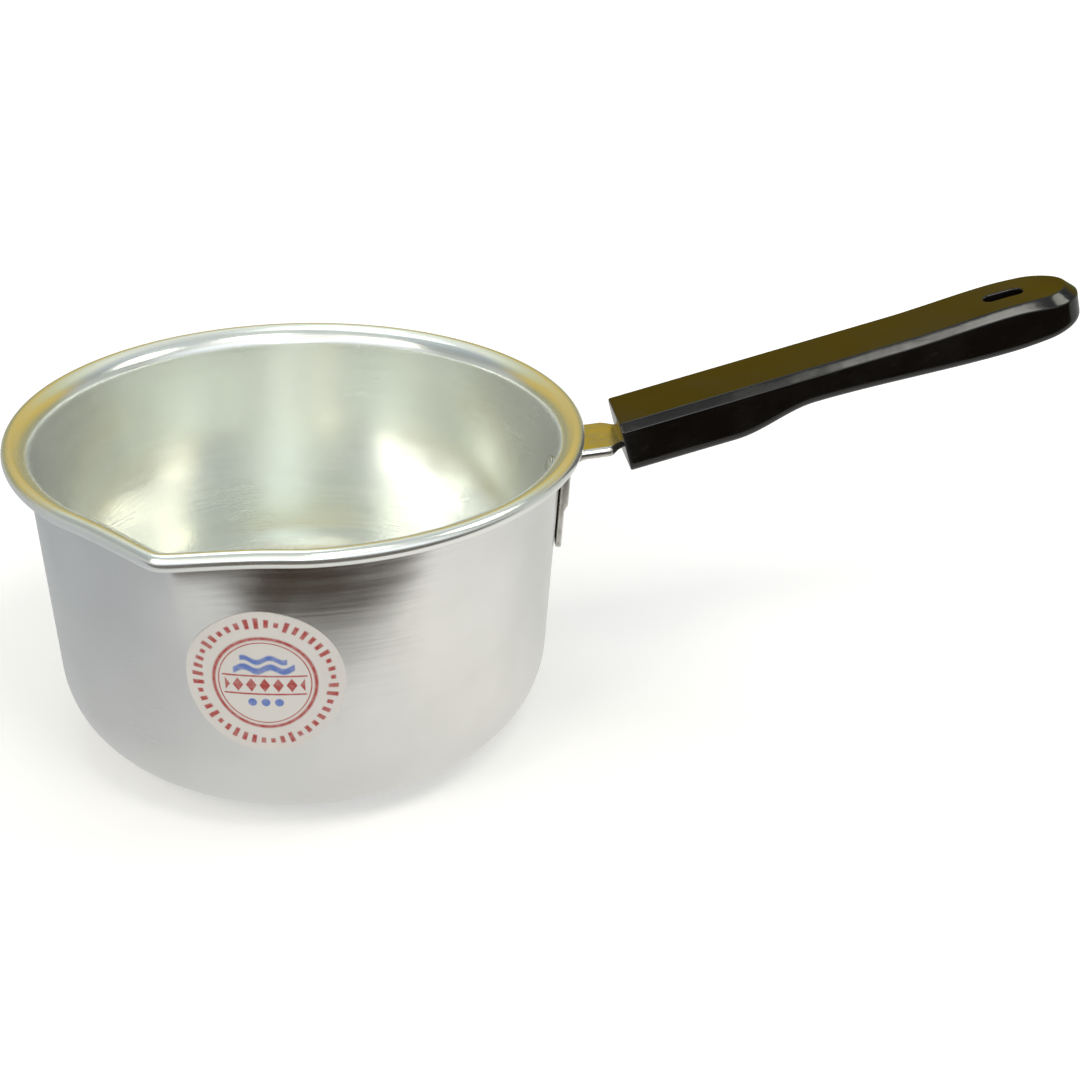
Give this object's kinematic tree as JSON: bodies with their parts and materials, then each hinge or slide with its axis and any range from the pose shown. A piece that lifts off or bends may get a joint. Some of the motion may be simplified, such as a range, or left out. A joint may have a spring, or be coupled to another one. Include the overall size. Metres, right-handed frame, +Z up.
{
  "type": "saucepan",
  "caption": "Spun aluminium saucepan with a rolled rim, a pouring lip, a riveted steel bracket and a black moulded handle with a hanging slot.",
  "frame": {"origin": "centre of the flat base, on the surface that the pan stands on", "axes": "+Z up, +X from the pan's centre along the handle, +Y to the left of someone who looks along the handle from the pan; the pouring lip is on the -Y side"},
  "size_m": [0.3184, 0.1679, 0.1341],
  "materials": {
    "aluminium": "spun and satin polished",
    "plated_steel": "pressed sheet steel, bright plated",
    "rivet_aluminium": "satin",
    "black_phenolic": "moulded phenolic resin, polished",
    "screw_steel": "zinc plated",
    "label_paper": "printed paper"
  },
  "bodies": {
    "root": {"pan_body": "aluminium", "handle_bracket": "plated_steel", "bracket_rivets": "rivet_aluminium", "handle_grip": "black_phenolic", "handle_screw": "screw_steel", "label": "label_paper"}
  },
  "joints": []
}
